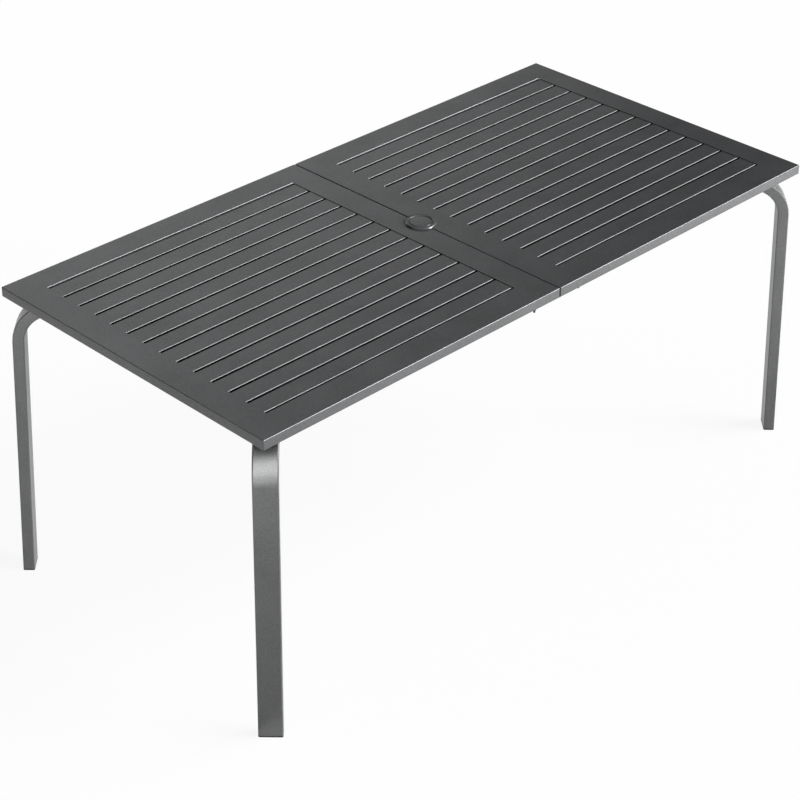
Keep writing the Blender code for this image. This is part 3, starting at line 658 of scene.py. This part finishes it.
floor_mesh = bpy.data.meshes.new("floor")
bm = bmesh.new()
bmesh.ops.create_grid(bm, x_segments=1, y_segments=1, size=FLOOR_REACH)
bm.to_mesh(floor_mesh)
bm.free()
floor = bpy.data.objects.new("floor", floor_mesh)
bpy.context.scene.collection.objects.link(floor)
floor_paper, tree = new_material("matt white floor paper")
paper = node(tree, "ShaderNodeBsdfDiffuse", [("Color", colour("#fafafa"))])
white = node(tree, "ShaderNodeEmission", [("Color", WHITE), ("Strength", 1.0)])
times = [("operation", "MULTIPLY"), (1, WHITE_SHARE)]
share = node(tree, "ShaderNodeMath", times, [(0, seen_directly(tree))])
links = [(0, share.outputs[0]), (1, paper.outputs[0]), (2, white.outputs[0])]
both = node(tree, "ShaderNodeMixShader", (), links)
node(tree, "ShaderNodeOutputMaterial", (), [("Surface", both.outputs[0])])
give_finish(floor, floor_paper)
floor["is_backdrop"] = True
print("floor", 2 * FLOOR_REACH, "m across")

# %% [markdown]
# **The sky.** A white room throws light back from all round. The world stands in for it: a low even
# fill where it lights the table, and plain white wherever it is seen.

# %% Sky
SKY_FILL = 0.25

world = bpy.data.worlds.new("even studio sky")
bpy.context.scene.world = world
world.use_nodes = True
tree = world.node_tree
tree.nodes.clear()
limits = [("To Min", SKY_FILL), ("To Max", 1.0)]
level = node(tree, "ShaderNodeMapRange", limits, [("Value", seen_directly(tree))])
sky = node(tree, "ShaderNodeBackground", [("Color", WHITE)], [("Strength", level.outputs[0])])
node(tree, "ShaderNodeOutputWorld", (), [("Surface", sky.outputs[0])])
print("sky fill", SKY_FILL)

# %% [markdown]
# **The lamps.** A broad key stands high at the front right. A low light on the same side fills the
# long skirt; it is cross-polarised, which takes its glare off the flat top, so it is left out of
# reflections. Three more have barn doors, and light linking stands in for the doors: one from over
# the camera's shoulder runs down the bends of the legs, one from the right draws the legs' bright
# edges, and a narrow one from the front picks out the umbrella ring. The two that light everything
# are far and wide, so their shadows are soft.

# %% Lamps
def between_barn_doors(kind):
    """The pieces of one kind, for a lamp that lights nothing else."""
    group = bpy.data.collections.new(f"{kind} between the barn doors")
    for name, piece in nodes.items():
        if kind_of(name) == kind:
            group.objects.link(piece)
    return group


def distant_light(name, towards, strength, width, shines=("diffuse", "glossy"), only=None):
    """A far, broad light that shines along a direction. Width is how wide it looks, in degrees."""
    lamp = bpy.data.lights.new(name, "SUN")
    lamp.energy = strength
    lamp.angle = math.radians(width)
    light = bpy.data.objects.new(name, lamp)
    light.rotation_euler = Vector(towards).to_track_quat("-Z", "Y").to_euler()
    light.visible_diffuse = "diffuse" in shines
    light.visible_glossy = "glossy" in shines
    if only:
        light.light_linking.receiver_collection = only
    bpy.context.scene.collection.objects.link(light)


legs = between_barn_doors("leg")
ring = between_barn_doors("ring")
distant_light("front key", (-0.65, 0.45, -0.61), 2.1, 32)
distant_light("low fill", (-0.55, 0.80, -0.20), 4.5, 30, shines=("diffuse",))
distant_light("shoulder light", (0.70, 0.70, -0.11), 6.9, 70, shines=("glossy",), only=legs)
distant_light("edge light", (-0.70, 0.66, -0.25), 2.6, 40, shines=("glossy",), only=legs)
distant_light("ring light", (-0.46, 0.84, -0.29), 8.5, 26, shines=("glossy",), only=ring)


# %% [markdown]
# **Dark cards.** Glossy paint shows its surroundings, so a studio dresses these too. Three dark cards
# stand behind the table, curved round it. The flat top mirrors the first and stays dark towards the
# right, the fold of the short skirt mirrors the next, and the far sides of the slots mirror the low
# one. They show in reflections alone.

# %% Dark cards
CARD_DISTANCE = 6.0
CARD_STEPS = 12
DARK_CARDS = (
    # name, height and span of the lower edge, height and span of the upper edge
    ("dark_card_right", 1.2, (9, 18), 9.0, (9, 90)),
    ("dark_card_left", 0.8, (110, 165), 9.5, (85, 165)),
    ("dark_card_low", 0.1, (25, 80), 2.6, (25, 80)),
)


def show_in_reflections(name, corners, faces, material):
    """A card that only glossy surfaces see."""
    mesh = bpy.data.meshes.new(name)
    mesh.from_pydata(corners, [], faces)
    card = bpy.data.objects.new(name, mesh)
    bpy.context.scene.collection.objects.link(card)
    give_finish(card, material)
    for ray in ("camera", "diffuse", "transmission", "volume_scatter", "shadow"):
        setattr(card, f"visible_{ray}", False)
    card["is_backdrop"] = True


def curved_card(name, low, low_span, high, high_span, material):
    """A card curved round the table. Its lower and upper edge have a height and a span of degrees."""
    corners, faces = [], []
    for row in range(CARD_STEPS + 1):
        up = row / CARD_STEPS
        first, last = (a + (b - a) * up for a, b in zip(low_span, high_span))
        for column in range(CARD_STEPS + 1):
            angle = math.radians(first + (last - first) * column / CARD_STEPS)
            x, y = CARD_DISTANCE * math.cos(angle), CARD_DISTANCE * math.sin(angle)
            corners.append((x, y, low + (high - low) * up))
            if row and column:
                here = len(corners) - 1
                below = here - CARD_STEPS - 1
                faces.append((below - 1, below, here, here - 1))
    show_in_reflections(name, corners, faces, material)


black_cloth, tree = new_material("black flag cloth")
cloth = node(tree, "ShaderNodeBsdfDiffuse", [("Color", colour("#202020"))])
node(tree, "ShaderNodeOutputMaterial", (), [("Surface", cloth.outputs[0])])
for card in DARK_CARDS:
    curved_card(*card, black_cloth)
print(len(DARK_CARDS), "dark cards,", CARD_DISTANCE, "m out")


# %% [markdown]
# **Lit panels.** The skirts and the upright faces of the legs mirror the floor in front of them. Panels
# lie there that glow more strongly towards one end, and so the skirts and legs grade from light to dark
# along their length. These too show in reflections alone, just clear of the paper.

# %% Lit panels
PANEL_Z = 0.02
FLOOR_PANELS = (
    # name, span in X, span in Y, glow at each end of X
    ("floor_panel_right", (-0.1, 2.5), (-3.4, -1.1), (1.4, 4.2)),
    ("floor_panel_left", (-3.4, -1.2), (-0.2, 2.4), (1.1, 1.1)),
    ("floor_panel_near", (-2.2, -0.9), (-3.6, -0.4), (1.4, 0.45)),
    ("floor_panel_far", (-4.4, -2.2), (-4.6, -0.4), (6.6, 4.0)),
    ("floor_panel_front", (-0.1, 0.9), (-1.1, -0.45), (2.1, 0.85)),
)


def graded_glow(name, span, strengths):
    """A glow that changes evenly along X from one strength to another."""
    material, tree = new_material(name)
    place = node(tree, "ShaderNodeTexCoord").outputs["Object"]
    along = node(tree, "ShaderNodeSeparateXYZ", (), [(0, place)]).outputs[0]
    limits = [("From Min", span[0]), ("From Max", span[1])]
    limits += [("To Min", strengths[0]), ("To Max", strengths[1])]
    level = node(tree, "ShaderNodeMapRange", limits, [("Value", along)]).outputs[0]
    glow = node(tree, "ShaderNodeEmission", [("Color", WHITE)], [("Strength", level)])
    node(tree, "ShaderNodeOutputMaterial", (), [("Surface", glow.outputs[0])])
    return material


for name, (x0, x1), (y0, y1), strengths in FLOOR_PANELS:
    corners = [(x0, y0, PANEL_Z), (x1, y0, PANEL_Z), (x1, y1, PANEL_Z), (x0, y1, PANEL_Z)]
    show_in_reflections(name, corners, [(0, 1, 2, 3)], graded_glow(name, (x0, x1), strengths))
print(len(FLOOR_PANELS), "lit panels")

# %% [markdown]
# **The camera.** Its place was solved from the picture: the four corners of the top, the feet and the
# edges of the legs give a long lens, about thirty degrees above the table and forty-four degrees round
# from its front. The small shift only puts the table where it is in the frame.

# %% Camera
CAMERA_PLACE = (-3.2930, -3.1827, 3.1488)
CAMERA_DOWN = math.radians(30.154)
CAMERA_ROUND = math.radians(44.142)
FOCAL_PIXELS = 2230.1
IMAGE_SIZE = 800
SENSOR_MM = 36
CENTRE_X, CENTRE_Y = 357.4, 320

lens = bpy.data.cameras.new("portrait lens")
lens.sensor_width = SENSOR_MM
lens.lens = FOCAL_PIXELS / IMAGE_SIZE * SENSOR_MM
lens.shift_x = (IMAGE_SIZE / 2 - CENTRE_X) / IMAGE_SIZE
lens.shift_y = (CENTRE_Y - IMAGE_SIZE / 2) / IMAGE_SIZE
lens.dof.use_dof = False
camera = bpy.data.objects.new("camera", lens)
camera.location = CAMERA_PLACE
camera.rotation_euler = (math.pi / 2 - CAMERA_DOWN, 0, -CAMERA_ROUND)
bpy.context.scene.collection.objects.link(camera)
bpy.context.scene.camera = camera
bpy.context.scene.view_settings.view_transform = "Standard"
print("lens", round(lens.lens, 1), "mm")

# %% [markdown]
# Last, the box of the dressed table is printed, with the floor and the cards left out.

# %% Sizes, and finish
low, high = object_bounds()
print("dressed box", [round(b - a, 4) for a, b in zip(low, high)])
